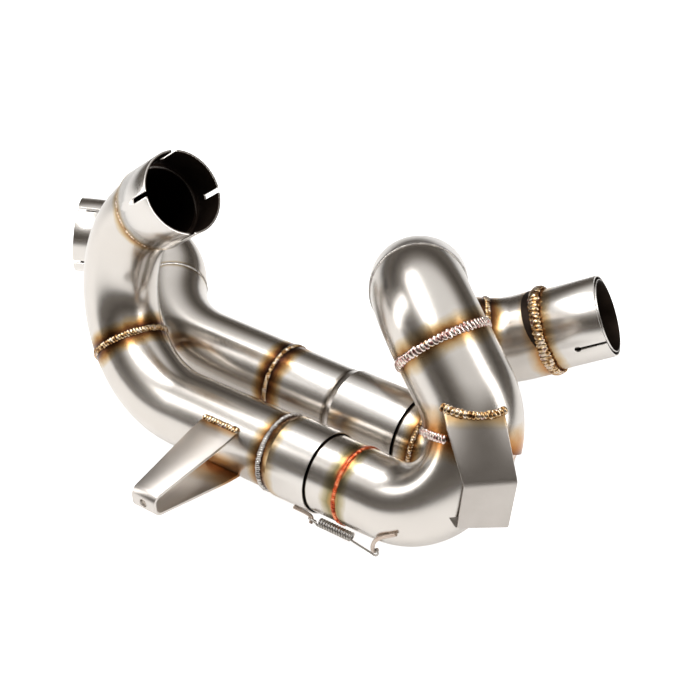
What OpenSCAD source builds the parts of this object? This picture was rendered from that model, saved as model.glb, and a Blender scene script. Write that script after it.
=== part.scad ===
/* [Tubes] */
// Outer diameter of both header pipes
header_od = 50.8; // [48:0.1:52]
// Wall of the header pipes
header_wall = 1.5; // [1.2:0.1:2]
// Outer diameter of the collector and the pipe that leaves it
collector_od = 60.3; // [58:0.1:61]
// Wall of the collector pipe
collector_wall = 1.5; // [1.2:0.1:2]
// Wall of the expanded slip sleeves
sleeve_wall = 1.5; // [1.2:0.1:2]
// Clearance all round between a spigot and its slip sleeve
slip_gap = 0.1; // [0.05:0.05:0.3]

/* [Sockets] */
// Inner diameter of the two inlet sockets
inlet_socket_id = 53.2; // [52.4:0.1:54.4]
// Wall of the inlet sockets
inlet_socket_wall = 1.7; // [1.4:0.1:2.2]
// Length of the front inlet socket
front_socket_length = 37; // [34:0.5:38]
// Length of the rear inlet socket
rear_socket_length = 31; // [28:0.5:32]
// Depth that a header pipe reaches into its socket
socket_seat = 12; // [8:0.5:14]
// Outer diameter of the outlet socket
outlet_socket_od = 57.3; // [56.5:0.1:58]
// Wall of the outlet socket
outlet_socket_wall = 1.5; // [1.2:0.1:1.8]
// Outer diameter of the inner tube in the outlet socket
outlet_inner_od = 51.4; // [50.6:0.1:52]
// Wall of the inner tube in the outlet socket
outlet_inner_wall = 1.2; // [1:0.1:1.6]
// Width of the clamping slots in the inlet sockets
inlet_slot_w = 3.2; // [2:0.1:4]
// Length of the clamping slots in the inlet sockets
inlet_slot_l = 16; // [10:0.5:18]
// Number of clamping slots in an inlet socket
inlet_slots = 4; // [2:1:4]
// Width of the slot in the outlet socket
outlet_slot_w = 2; // [1.5:0.1:3]
// Length of the slot in the outlet socket, mouth to relief hole
outlet_slot_l = 20; // [14:0.5:24]
// Diameter of the relief hole at the end of the outlet slot
relief_hole_d = 4.4; // [3.5:0.1:6]

/* [Slip joints and springs] */
// Length of the front slip sleeve
front_sleeve_length = 36; // [30:0.5:38]
// Length of the rear slip sleeve
rear_sleeve_length = 103; // [96:0.5:104]
// Length of the front sleeve before it widens
front_sleeve_plain = 1.2; // [1.2:0.1:3]
// Length of the rear sleeve before it widens
rear_sleeve_plain = 48; // [30:0.5:60]
// Depth that a spigot reaches into its sleeve
spigot_depth = 26; // [20:0.5:28]
// Distance from a sleeve's mouth to the weld behind the front spigot
front_spigot_show = 23; // [20:0.5:25]
// Outer diameter of a spring's coil
spring_od = 6.4; // [5.6:0.1:6.6]
// Diameter of the spring wire
spring_wire = 1.4; // [1:0.1:1.6]
// Number of coils in a spring
spring_coils = 13; // [8:1:14]
// Diameter of the wire that the spring hooks are bent from
hook_wire = 2.6; // [2:0.1:3]

/* [Brackets] */
// Thickness of the sheet of both brackets
sheet_t = 2; // [1.5:0.1:2.5]
// Width of the left bracket at the pipe
left_bracket_root = 29; // [25:0.5:31]
// Width of the left bracket at its nose
left_bracket_tip = 19; // [16:0.5:22]
// Reach of the left bracket from the pipe's axis
left_bracket_reach = 91; // [84:0.5:92]
// Diameter of the bolt hole in the left bracket's nose
bracket_hole_d = 5.5; // [4.5:0.1:6.5]
// Width of the right bracket at the top
right_bracket_root = 34; // [30:0.5:36]
// Width of the right bracket from its upper fold down
right_bracket_tip = 30; // [26:0.5:32]

/* [Welds] */
// Height of a weld bead over the pipe
bead_h = 1.1; // [0.8:0.1:1.4]
// Width of a fine weld bead
bead_w = 4; // [3:0.1:5]
// Width of the broad beads on the collector
broad_bead_w = 6; // [4.5:0.1:7]

/* [Hidden] */
$fn = 96;
// A leg bites into the bends beside it and stands a hair proud of them, so that they fuse
bite = 0.5;
hair = 0.01;
// Depth that a bead is drawn into a bend before the bend is cut from it
bead_root = 0.15;
// Gap left under a bead that stands where a bend begins or ends
bend_lift = 0.1;
// Corner points of the front pipe, from the inlet's mouth to the outlet's mouth
front_line = [
    [-38.6, -42.5, 170.1], [-131, -34.7, 97.6], [-52.3, -71.4, 24.7], [196.6, -79.5, 37.5],
    [188.3, -44.5, 96.1], [125.8, -22.7, 151], [85.7, 51.2, 105], [69.9, 77.3, 42],
    [117.8, 110.8, 39], [179.9, 138.8, 70.4]
];
// Centreline bend radius at each inner corner of the front pipe
front_radius = [64, 80, 42, 45, 48.5, 55, 44.7, 59];
// Corner points of the rear pipe, from the inlet's mouth to the collector's axis
rear_line = [
    [-209.5, 24.6, 52.4], [-150.1, 64.2, 46], [-89.9, -5.9, 27], [168.6, -5.9, 27],
    [188.3, -44.5, 96.1]
];
rear_radius = [46, 81, 46];
front_sleeve_x = 68.1;
rear_sleeve_x = 16.1;
top_seam_share = 0.73;
outlet_elbow_run = 17.2;
outlet_inner_out = 0.8;
rear_weld_back = 10;

function unit(v) = v / norm(v);
function heading(line, i) = unit(line[i + 1] - line[i]);
function turn(line, i) = acos(heading(line, i - 1) * heading(line, i));
// Distance from a corner to where its bend starts
function setback(line, radius, i) = radius[i - 1] * tan(turn(line, i) / 2);
function bend_start(line, radius, i) = line[i] - heading(line, i - 1) * setback(line, radius, i);
function bend_end(line, radius, i) = line[i] + heading(line, i) * setback(line, radius, i);
// Any direction square to a heading
function side_of(d) = unit(cross(d, abs(d.z) < 0.9 ? [0, 0, 1] : [1, 0, 0]));

front_sleeve_start = point_at_x(2, front_sleeve_x);
front_run = heading(front_line, 2);
front_slip = front_sleeve_start + front_run * front_sleeve_length;
front_spigot_end = front_slip + front_run * front_spigot_show;
rear_run = heading(rear_line, 2);
rear_sleeve_start = [rear_sleeve_x, rear_line[2].y, rear_line[2].z];
rear_slip = rear_sleeve_start + rear_run * rear_sleeve_length;
rear_elbow_start = bend_start(rear_line, rear_radius, 3);
collector_base = bend_start(front_line, front_radius, 4);
socket_up = heading(front_line, 0);
rear_in = heading(rear_line, 0);
outlet_run = heading(front_line, 8);
outlet_mouth = front_line[9];
outlet_seam = bend_end(front_line, front_radius, 8) + outlet_run * outlet_elbow_run;
cross_seam = bend_start(front_line, front_radius, 8);
front_elbow_seam = bend_end(front_line, front_radius, 1);
rear_elbow_seam = bend_end(rear_line, rear_radius, 1) + heading(rear_line, 1) * rear_weld_back;
top_turn = turn(front_line, 5);

function point_at_x(i, x) = front_line[i]
    + heading(front_line, i) * (x - front_line[i].x) / heading(front_line, i).x;
// Centre of the bend at corner i, and the way from it to the bend's start
function inward(line, i) = unit(heading(line, i) - heading(line, i - 1) * cos(turn(line, i)));
function bend_centre(line, radius, i) = bend_start(line, radius, i) + inward(line, i) * radius[i - 1];
// Point and heading after a given angle of the bend at corner i
function along_bend(line, radius, i, a) = bend_centre(line, radius, i)
    + (heading(line, i - 1) * sin(a) - inward(line, i) * cos(a)) * radius[i - 1];
function heading_in_bend(line, i, a) = heading(line, i - 1) * cos(a) + inward(line, i) * sin(a);

// Puts children at point p, with their X along x and their Z along z
module placed(p, x, z) {
    y = cross(z, x);
    multmatrix([[x.x, y.x, z.x, p.x], [x.y, y.y, z.y, p.y], [x.z, y.z, z.z, p.z]])
        children();
}

// Section of a tube; a wall of zero gives a solid bar
module section(od, wall) {
    difference() {
        circle(d = od);
        if (wall > 0)
            circle(d = od - 2 * wall);
    }
}

// Straight tube from p to q
module straight(p, q, od, wall) {
    d = unit(q - p);
    placed(p, side_of(d), d)
        linear_extrude(norm(q - p))
            section(od, wall);
}

// Straight leg from p to q, with the length that it bites into the bend at either end
module leg(p, q, od, wall, into_p, into_q) {
    d = unit(q - p);
    straight(p - d * into_p, q + d * into_q, od + 2 * hair, wall > 0 ? wall + 2 * hair : 0);
}

// Mandrel bend at corner i, from angle a0 to angle a1 of its turn
module bend(line, radius, i, od, wall, a0, a1) {
    out = inward(line, i) * -1;
    placed(bend_centre(line, radius, i), out, cross(out, heading(line, i - 1)))
        rotate([0, 0, a0])
            rotate_extrude(angle = a1 - a0)
                translate([radius[i - 1], 0])
                    section(od, wall);
}

module whole_bend(line, radius, i, od, wall) {
    bend(line, radius, i, od, wall, 0, turn(line, i));
}

// Weld bead round a tube of diameter od at p, lying on its surface; what it may not fill is cut away
module bead(p, d, od, w, h, lift = 0) {
    crown = (w * w / 4 + h * h) / (2 * h);
    root = $children > 0 ? -bead_root : hair + lift;
    difference() {
        placed(p, side_of(d), d)
            rotate_extrude()
                intersection() {
                    translate([od / 2 + h - crown, 0])
                        circle(r = crown);
                    translate([od / 2 + root, -w])
                        square([2 * w, 2 * w]);
                }
        children();
    }
}

// Normals carried along a line's headings without twist
function carried(way, i, a) = i == len(way) ? []
    : let (n = unit(a - way[i] * (a * way[i]))) concat([n], carried(way, i + 1, n));

// Round wire swept along a list of points
module wire(points, d) {
    sides = 8;
    last = len(points) - 1;
    way = [for (i = [0 : last]) unit(points[min(i + 1, last)] - points[max(i - 1, 0)])];
    normals = carried(way, 0, side_of(way[0]));
    rings = [for (i = [0 : last], k = [0 : sides - 1])
        points[i] + (normals[i] * cos(360 * k / sides)
            + cross(way[i], normals[i]) * sin(360 * k / sides)) * d / 2];
    polyhedron(
        points = rings,
        faces = concat(
            [for (k = [1 : sides - 2]) [0, k, k + 1]],
            [for (k = [1 : sides - 2]) [last * sides, last * sides + k + 1, last * sides + k]],
            [for (i = [0 : last - 1], k = [0 : sides - 1])
                [i * sides + k, (i + 1) * sides + k, (i + 1) * sides + (k + 1) % sides]],
            [for (i = [0 : last - 1], k = [0 : sides - 1])
                [i * sides + k, (i + 1) * sides + (k + 1) % sides, i * sides + (k + 1) % sides]]
        )
    );
}

// Socket with clamping slots; a step inside it stops the header pipe
module inlet_socket(mouth, d, length) {
    socket_od = inlet_socket_id + 2 * inlet_socket_wall;
    placed(mouth, side_of(d), d)
        difference() {
            rotate_extrude()
                polygon([
                    [inlet_socket_id / 2, 0], [socket_od / 2, 0], [socket_od / 2, length - 2],
                    [socket_od / 2 - 2, length], [header_od / 2 + hair, length],
                    [header_od / 2 + hair, length - socket_seat], [inlet_socket_id / 2, length - socket_seat]
                ]);
            for (k = [0 : inlet_slots - 1])
                rotate([0, 0, 360 * k / inlet_slots + 18])
                    translate([inlet_socket_id / 2 - 4, -inlet_slot_w / 2, -1])
                        cube([inlet_socket_wall + 8, inlet_slot_w, inlet_slot_l + 1]);
        }
}

module front_inlet_socket() {
    color("silver")
        inlet_socket(front_line[0], socket_up, front_socket_length);
}

module front_inlet_weld() {
    color("goldenrod")
        bead(front_line[0] + socket_up * (front_socket_length + 1), socket_up, header_od, bead_w, bead_h);
}

module front_upper_elbow() {
    color("gainsboro")
        union() {
            leg(front_line[0] + socket_up * (front_socket_length - socket_seat),
                bend_start(front_line, front_radius, 1), header_od, header_wall, 0, bite);
            whole_bend(front_line, front_radius, 1, header_od, header_wall);
        }
}

module front_elbow_weld() {
    color("peru")
        bead(front_elbow_seam, heading(front_line, 1), header_od, bead_w, bead_h) {
            whole_bend(front_line, front_radius, 1, header_od, 0);
            leg(front_elbow_seam, front_elbow_seam + heading(front_line, 1) * bead_w, header_od, 0, 0, 0);
        }
}

module front_lower_elbow() {
    color("gainsboro")
        union() {
            leg(front_elbow_seam, bend_start(front_line, front_radius, 2),
                header_od, header_wall, 0, bite);
            whole_bend(front_line, front_radius, 2, header_od, header_wall);
            leg(bend_end(front_line, front_radius, 2), front_sleeve_start,
                header_od, header_wall, bite, 0);
        }
}

module front_sleeve_weld() {
    color("peru")
        bead(front_sleeve_start - front_run * 1, front_run, header_od, bead_w, bead_h + 0.6);
}

sleeve_od = header_od + 2 * slip_gap + 2 * sleeve_wall;

// Tube end from p to q, plain for its first length and expanded from there on
module slip_sleeve(p, q, plain) {
    d = unit(q - p);
    flare = 5;
    bore = sleeve_od / 2 - sleeve_wall;
    placed(p, side_of(d), d)
        rotate_extrude()
            polygon([
                [header_od / 2 - header_wall, 0], [header_od / 2, 0], [header_od / 2, plain],
                [sleeve_od / 2, plain + flare], [sleeve_od / 2, norm(q - p)], [bore, norm(q - p)],
                [bore, plain + flare], [header_od / 2 - header_wall, plain]
            ]);
}

module front_slip_sleeve() {
    color("silver")
        slip_sleeve(front_sleeve_start, front_slip, front_sleeve_plain);
}

module front_spigot() {
    color("gainsboro")
        straight(front_slip - front_run * spigot_depth, front_spigot_end, header_od, header_wall);
}

module front_spigot_weld() {
    color("orangered")
        bead(front_spigot_end, front_run, header_od, bead_w, bead_h);
}

module front_collector_path(wall) {
    leg(front_spigot_end, bend_start(front_line, front_radius, 3), header_od, wall, 0, bite);
    whole_bend(front_line, front_radius, 3, header_od, wall);
    leg(bend_end(front_line, front_radius, 3), collector_base, header_od, wall, bite, 0);
}

module front_collector_elbow() {
    color("gainsboro")
        union()
            front_collector_path(header_wall);
}

module rear_inlet_socket() {
    color("silver")
        inlet_socket(rear_line[0], rear_in, rear_socket_length);
}

module rear_inlet_weld() {
    color("goldenrod")
        bead(rear_line[0] + rear_in * (rear_socket_length + 1), rear_in, header_od, bead_w, bead_h);
}

module rear_upper_elbow() {
    color("gainsboro")
        union() {
            leg(rear_line[0] + rear_in * (rear_socket_length - socket_seat),
                bend_start(rear_line, rear_radius, 1), header_od, header_wall, 0, bite);
            whole_bend(rear_line, rear_radius, 1, header_od, header_wall);
            leg(bend_end(rear_line, rear_radius, 1), rear_elbow_seam, header_od, header_wall, bite, 0);
        }
}

module rear_elbow_weld() {
    color("tan")
        bead(rear_elbow_seam, heading(rear_line, 1), header_od, bead_w * 0.6, bead_h * 0.6);
}

module rear_lower_elbow() {
    color("gainsboro")
        union() {
            leg(rear_elbow_seam, bend_start(rear_line, rear_radius, 2), header_od, header_wall, 0, bite);
            whole_bend(rear_line, rear_radius, 2, header_od, header_wall);
            leg(bend_end(rear_line, rear_radius, 2), rear_sleeve_start, header_od, header_wall, bite, 0);
        }
}

module rear_sleeve_weld() {
    color("peru")
        bead(rear_sleeve_start - rear_run * 1, rear_run, header_od, bead_w, bead_h);
}

module rear_slip_sleeve() {
    color("silver")
        slip_sleeve(rear_sleeve_start, rear_slip, rear_sleeve_plain);
}

module rear_spigot() {
    color("gainsboro")
        straight(rear_slip - rear_run * spigot_depth, rear_elbow_start, header_od, header_wall);
}

module rear_spigot_weld() {
    color("peru")
        bead(rear_elbow_start, rear_run, header_od, bead_w, bead_h) {
            leg(rear_elbow_start - rear_run * bead_w, rear_elbow_start, header_od, 0, 0, 0);
            whole_bend(rear_line, rear_radius, 3, header_od, 0);
        }
}

// Rear branch of the collector, from its spigot to the riser's axis
module rear_branch(od, wall) {
    whole_bend(rear_line, rear_radius, 3, od, wall);
    leg(bend_end(rear_line, rear_radius, 3), rear_line[4], od, wall, bite, 0);
}

module riser_path(od, wall) {
    whole_bend(front_line, front_radius, 4, od, wall);
    leg(bend_end(front_line, front_radius, 4), bend_start(front_line, front_radius, 5),
        od, wall, bite, 0);
}

module rear_collector_elbow() {
    color("gainsboro")
        difference() {
            rear_branch(header_od, header_wall);
            riser_path(collector_od, 0);
            front_collector_path(0);
        }
}

// Ring that the fillet bead between the header pipe and the wider riser is cut from
module collector_fillet() {
    d = heading(front_line, 3);
    placed(collector_base, side_of(d), d)
        rotate_extrude()
            polygon([
                [header_od / 2 + hair, -5.5], [header_od / 2 + 1.6, -5], [collector_od / 2, -2.5],
                [collector_od / 2 + 1.3, -0.6], [collector_od / 2 + 1.3, 1.4],
                [collector_od / 2 + 0.7, 2.6], [collector_od / 2 - 0.2, 3.2], [header_od / 2 + hair, 3.2]
            ]);
}

module collector_weld() {
    color("peru")
        difference() {
            collector_fillet();
            riser_path(collector_od, 0);
            rear_branch(header_od, 0);
        }
}

module collector_riser() {
    color("gainsboro")
        difference() {
            riser_path(collector_od, collector_wall);
            rear_branch(header_od - 2 * header_wall, 0);
        }
}

module riser_weld() {
    color("rosybrown")
        bead(bend_start(front_line, front_radius, 5), heading(front_line, 4), collector_od,
            broad_bead_w, bead_h + 0.3) {
            leg(bend_end(front_line, front_radius, 4), bend_start(front_line, front_radius, 5),
                collector_od, 0, 0, 0);
            whole_bend(front_line, front_radius, 5, collector_od, 0);
        }
}

module riser_top_elbow() {
    color("gainsboro")
        bend(front_line, front_radius, 5, collector_od, collector_wall, 0, top_turn * top_seam_share);
}

module top_weld() {
    a = top_turn * top_seam_share;
    color("darkgray")
        bead(along_bend(front_line, front_radius, 5, a), heading_in_bend(front_line, 5, a),
            collector_od, bead_w * 0.8, bead_h * 0.6, bend_lift);
}

module return_elbow() {
    color("gainsboro")
        union() {
            bend(front_line, front_radius, 5, collector_od, collector_wall,
                top_turn * top_seam_share, top_turn);
            leg(bend_end(front_line, front_radius, 5), bend_start(front_line, front_radius, 6),
                collector_od, collector_wall, bite, bite);
            whole_bend(front_line, front_radius, 6, collector_od, collector_wall);
        }
}

module return_weld() {
    color("rosybrown")
        bead(bend_end(front_line, front_radius, 6), heading(front_line, 6), collector_od, bead_w, bead_h,
            bend_lift);
}

module cross_elbow() {
    color("gainsboro")
        union() {
            leg(bend_end(front_line, front_radius, 6), bend_start(front_line, front_radius, 7),
                collector_od, collector_wall, 0, bite);
            whole_bend(front_line, front_radius, 7, collector_od, collector_wall);
            leg(bend_end(front_line, front_radius, 7), cross_seam, collector_od, collector_wall, bite, 0);
        }
}

module cross_weld() {
    color("peru")
        bead(cross_seam, heading(front_line, 7), collector_od, bead_w, bead_h) {
            whole_bend(front_line, front_radius, 7, collector_od, 0);
            leg(bend_end(front_line, front_radius, 7), cross_seam, collector_od, 0, bite, 0);
            whole_bend(front_line, front_radius, 8, collector_od, 0);
        }
}

module outlet_elbow() {
    color("gainsboro")
        union() {
            whole_bend(front_line, front_radius, 8, collector_od, collector_wall);
            leg(bend_end(front_line, front_radius, 8), outlet_seam,
                collector_od, collector_wall, bite, 0);
        }
}

// Broad bead that steps down from the pipe to the outlet socket
module outlet_weld() {
    color("peru")
        placed(outlet_seam, side_of(outlet_run), outlet_run)
            rotate_extrude()
                polygon([
                    [collector_od / 2 + hair, 0], [collector_od / 2 + hair, -3.4],
                    [collector_od / 2 + 1, -2.6],
                    [collector_od / 2 + 1.6, -0.6], [collector_od / 2 + 1.2, 1.6],
                    [outlet_socket_od / 2 + 1.2, 3.6], [outlet_socket_od / 2, 4.4], [outlet_socket_od / 2, 0]
                ]);
}

module outlet_socket() {
    length = norm(outlet_mouth - outlet_seam);
    slot_end = length - outlet_slot_l;
    color("silver")
        placed(outlet_seam, side_of(outlet_run), outlet_run)
            difference() {
                linear_extrude(length)
                    section(outlet_socket_od, outlet_socket_wall);
                for (a = [8, 188])
                    rotate([0, 0, a]) {
                        translate([outlet_socket_od / 2 - 4, -outlet_slot_w / 2, slot_end])
                            cube([8, outlet_slot_w, outlet_slot_l + 1]);
                        translate([outlet_socket_od / 2 - 4, 0, slot_end])
                            rotate([0, 90, 0])
                                cylinder(h = 8, d = relief_hole_d);
                    }
            }
}

// Inner tube of the outlet, with the collar that carries it in the socket
module outlet_inner_tube() {
    length = norm(outlet_mouth - outlet_seam) + outlet_inner_out;
    socket_bore = outlet_socket_od / 2 - outlet_socket_wall;
    color("dimgray")
        placed(outlet_seam, side_of(outlet_run), outlet_run)
            rotate_extrude()
                polygon([
                    [outlet_inner_od / 2 - outlet_inner_wall, 2], [socket_bore, 2], [socket_bore, 8],
                    [outlet_inner_od / 2, 10], [outlet_inner_od / 2, length],
                    [outlet_inner_od / 2 - outlet_inner_wall, length]
                ]);
}

// Outline of a folded sheet: a list of outer corners with the sheet's thickness inside
function sheet_offset(p, i, t) = let (
    a = i > 0 ? unit(p[i] - p[i - 1]) : unit(p[1] - p[0]),
    b = i < len(p) - 1 ? unit(p[i + 1] - p[i]) : unit(p[i] - p[i - 1]),
    m = unit([-a.y, a.x] + [-b.y, b.x])
) p[i] + m * t / (m * [-a.y, a.x]);

module folded(points, t) {
    inner = [for (i = [len(points) - 1 : -1 : 0]) sheet_offset(points, i, t)];
    polygon(concat(points, inner));
}

// Points of an arc about c from angle a to angle b
function arc(c, r, a, b, n) = [for (k = [0 : n]) c + [cos(a + (b - a) * k / n), sin(a + (b - a) * k / n)] * r];

left_bracket_x = 31.4;
left_bracket_axis = point_at_x(2, left_bracket_x);
left_bracket_out = unit([0, -1, 0] + front_run * front_run.y);
nose_h = 15.5;
nose_r = 6;
nose_x = left_bracket_reach - nose_r;
nose_steps = 6;
left_profile = concat(
    [[12, -17]],
    arc([nose_x, nose_r - nose_h / 2], nose_r, -86, 0, nose_steps),
    arc([nose_x, nose_h / 2 - nose_r], nose_r, 0, 86, nose_steps),
    [[12, 19]]
);
left_root = left_profile[len(left_profile) - 1];
left_nose_top = left_profile[len(left_profile) - 2];

// Outline of a bracket seen from above: its full width up to where, then tapering to its tip
module taper(root, tip, where, reach) {
    rotate([90, 0, 0])
        translate([0, 0, -100])
            linear_extrude(200)
                polygon([
                    [-40, -root / 2], [where, -root / 2], [reach, -tip / 2], [reach + 40, -tip / 2],
                    [reach + 40, tip / 2], [reach, tip / 2], [where, root / 2], [-40, root / 2]
                ]);
}

module left_bracket_pipe() {
    straight(left_bracket_axis - front_run * 30, left_bracket_axis + front_run * 30,
        header_od + 2 * hair, 0);
}

// Tapered channel: upper plate, rounded nose and lower plate, coped onto the pipe
module left_bracket() {
    color("lightgray")
        difference() {
            placed(left_bracket_axis, left_bracket_out, front_run * -1)
                intersection() {
                    translate([0, 0, -left_bracket_root / 2])
                        linear_extrude(left_bracket_root)
                            folded(left_profile, sheet_t);
                    taper(left_bracket_root + 1, left_bracket_tip, 25, left_bracket_reach);
                }
            left_bracket_pipe();
            placed(left_bracket_axis, front_run, left_bracket_out)
                translate([0, 0, nose_x - 5])
                    cylinder(h = nose_r + 10, d = bracket_hole_d);
        }
}

// Bead along the upper plate's root
module left_bracket_weld() {
    color("peru")
        difference() {
            placed(left_bracket_axis, left_bracket_out, front_run * -1)
                translate([0, 0, -left_bracket_root / 2])
                    linear_extrude(left_bracket_root)
                        difference() {
                            translate([19, 18])
                                circle(d = 5);
                            polygon([
                                left_root, left_nose_top, [left_nose_top.x, -20], [left_root.x, -20]
                            ]);
                        }
            left_bracket_pipe();
        }
}

// Foot of the right bracket on the riser, and the way that it faces
right_bracket_foot = [199.6, -67, 111];
right_bracket_face = unit([0.61, -0.79, 0]);
right_bracket_across = cross(right_bracket_face, [0, 0, 1]);
upper_drop = [22.7, -30.1];
lower_drop = [0, -30];
flap_back = [-14, 20.6];
right_top = upper_drop * -0.34;
bracket_bead = 2.4;

// Folded stay: sloping upper plate, upright lower plate and a return flap to the elbow
module right_bracket() {
    color("darkgray")
        difference() {
            placed(right_bracket_foot, right_bracket_face, right_bracket_across)
                intersection() {
                    translate([0, 0, -right_bracket_root / 2])
                        linear_extrude(right_bracket_root)
                            folded([
                                upper_drop + lower_drop + flap_back, upper_drop + lower_drop,
                                upper_drop + [0, -1.5], upper_drop + [-1.1, 1.4], right_top
                            ], sheet_t);
                    taper(right_bracket_root + 1, right_bracket_tip, 0, upper_drop.x);
                }
            riser_path(collector_od, 0);
            front_collector_path(0);
            collector_fillet();
        }
}

// Bead where the right bracket's upper plate meets the riser, following the riser's curve
module right_bracket_weld() {
    color("peru")
        difference() {
            intersection() {
                placed(right_bracket_foot, right_bracket_face, right_bracket_across)
                    translate([0, 0, -right_bracket_root / 2 - 1])
                        linear_extrude(right_bracket_root + 2)
                            folded([right_top, upper_drop + [-1.1, 1.4]], -bracket_bead);
                riser_path(collector_od + 2 * bracket_bead, 0);
            }
            riser_path(collector_od, 0);
        }
}

spring_r = (spring_od - spring_wire) / 2;

// Helix from a to b about their line, with its plain end legs
function coil(a, b, turns) = let (
    d = unit(b - a), u = side_of(d), v = cross(d, u), steps = 12
) [for (k = [0 : turns * steps]) let (t = k / (turns * steps), w = 360 * k / steps)
    a + (b - a) * t + (u * cos(w) + v * sin(w)) * spring_r];

// Way out from a pipe's leg to the spring beside it, at an angle under the horizontal
function spring_way(a, side) = [0, side * cos(a), -sin(a)];
// Point beside the front or the rear leg, r from its axis
function front_beside(x, r) = point_at_x(2, x) + spring_way(front_spring_angle, -1) * r;
function rear_beside(x, r) = [x, rear_line[2].y, rear_line[2].z] + spring_way(rear_spring_angle, 1) * r;
// Point r from the axis of the rear collector elbow, after a given angle of its bend
function rear_bend_beside(a, r) = let (
    h = heading_in_bend(rear_line, 3, a), w = spring_way(rear_spring_angle, 1)
) along_bend(rear_line, rear_radius, 3, a) + unit(w - h * (w * h)) * r;
// Points of a spring's end loop about c, in the plane of u and v
function loop(c, r, u, v, from, to, n) = [for (k = [0 : n])
    let (w = from + (to - from) * k / n) c + (u * cos(w) + v * sin(w)) * r];

front_spring_angle = 46.3;
rear_spring_angle = 12;
spring_off = header_od / 2 + bead_h + spring_od / 2 + 0.4;
hook_on_sleeve = sleeve_od / 2 + hook_wire / 2;
hook_on_pipe = header_od / 2 + hook_wire / 2;
start_loop_r = 2.6;
end_loop_r = 2.8;
long_hook_centre = [153.6, -97.2, 8.8];

module front_spring() {
    a = front_beside(112, spring_off);
    b = front_beside(138, spring_off);
    way = spring_way(front_spring_angle, -1);
    color("gray")
        wire(concat(
            loop(front_beside(107.2, spring_off + 0.6), start_loop_r, front_run,
                cross(front_run, way), 60, 300, 8),
            coil(a, b, spring_coils),
            loop(long_hook_centre, end_loop_r, [1, 0, 0], [0, 0, 1], -130, 75, 7)
        ), spring_wire);
}

// Wire hook on the front sleeve, bent out through the spring's loop
module front_sleeve_hook() {
    color("silver")
        wire([
            front_beside(91, hook_on_sleeve), front_beside(97, hook_on_sleeve),
            front_beside(102.5, hook_on_sleeve + 0.1), front_beside(105.4, hook_on_sleeve + 0.8),
            front_beside(106.8, hook_on_sleeve + 2.4), front_beside(106.8, hook_on_sleeve + 5)
        ], hook_wire);
}

// Wire hook welded along the collector elbow, bent down through the long hook
module front_elbow_hook() {
    color("silver")
        wire([
            [172.6, -102.8, 36], [168.5, -103.4, 33.2], [163.9, -103.8, 30.3],
            [159.5, -104, 26.2], [156.6, -102.8, 21], [154.8, -101, 15], [154, -99.2, 10.8],
            [154, -97, 8.9], [154, -94.4, 8.6]
        ], hook_wire);
}

module rear_spring() {
    a = rear_beside(122.6, spring_off);
    b = rear_beside(144.6, spring_off);
    way = spring_way(rear_spring_angle, 1);
    color("gray")
        wire(concat(
            loop(rear_beside(118, spring_off + 0.6), start_loop_r, rear_run, cross(rear_run, way), 60, 300, 8),
            coil(a, b, spring_coils - 2),
            loop(rear_beside(152, spring_off), end_loop_r, rear_run, cross(rear_run, way), 200, 420, 7)
        ), spring_wire);
}

module rear_sleeve_hook() {
    color("silver")
        wire([
            rear_beside(102, hook_on_sleeve), rear_beside(108, hook_on_sleeve),
            rear_beside(113.4, hook_on_sleeve + 0.1), rear_beside(116.2, hook_on_sleeve + 0.8),
            rear_beside(117.6, hook_on_sleeve + 2.4), rear_beside(117.6, hook_on_sleeve + 5)
        ], hook_wire);
}

// Wire hook welded along the rear collector elbow, bent out through the spring's hook
module rear_elbow_hook() {
    color("silver")
        wire([
            rear_bend_beside(56, hook_on_pipe), rear_bend_beside(48, hook_on_pipe),
            rear_bend_beside(40, hook_on_pipe + 0.3), rear_bend_beside(33, hook_on_pipe + 1.6),
            rear_beside(153.6, hook_on_pipe + 1), rear_beside(152.7, hook_on_pipe + 3.4),
            rear_beside(152.7, hook_on_pipe + 6.4)
        ], hook_wire);
}

front_inlet_socket();
front_inlet_weld();
front_upper_elbow();
front_elbow_weld();
front_lower_elbow();
front_sleeve_weld();
front_slip_sleeve();
front_spigot();
front_spigot_weld();
front_collector_elbow();
rear_inlet_socket();
rear_inlet_weld();
rear_upper_elbow();
rear_elbow_weld();
rear_lower_elbow();
rear_sleeve_weld();
rear_slip_sleeve();
rear_spigot();
rear_spigot_weld();
rear_collector_elbow();
collector_weld();
collector_riser();
riser_weld();
riser_top_elbow();
top_weld();
return_elbow();
return_weld();
cross_elbow();
cross_weld();
outlet_elbow();
outlet_weld();
outlet_socket();
outlet_inner_tube();
left_bracket();
left_bracket_weld();
right_bracket();
right_bracket_weld();
front_spring();
front_sleeve_hook();
front_elbow_hook();
rear_spring();
rear_sleeve_hook();
rear_elbow_hook();
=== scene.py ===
import math
import bpy
import bmesh
from mathutils import Matrix, Vector


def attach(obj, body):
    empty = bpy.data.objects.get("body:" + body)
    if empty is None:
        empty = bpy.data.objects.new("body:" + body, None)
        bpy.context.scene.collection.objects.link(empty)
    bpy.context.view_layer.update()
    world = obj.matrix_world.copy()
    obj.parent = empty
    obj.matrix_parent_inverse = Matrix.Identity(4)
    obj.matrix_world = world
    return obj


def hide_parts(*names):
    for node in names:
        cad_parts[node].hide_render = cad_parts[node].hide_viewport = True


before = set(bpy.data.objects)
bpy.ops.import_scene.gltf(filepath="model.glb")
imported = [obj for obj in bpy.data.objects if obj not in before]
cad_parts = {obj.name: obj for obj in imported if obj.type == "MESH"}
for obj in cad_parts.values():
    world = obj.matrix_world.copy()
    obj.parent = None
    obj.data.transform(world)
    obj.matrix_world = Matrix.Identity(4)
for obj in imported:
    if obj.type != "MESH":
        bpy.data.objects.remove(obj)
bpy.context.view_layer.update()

print("stage: frame loaded,", len(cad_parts), "CAD nodes")

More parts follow.
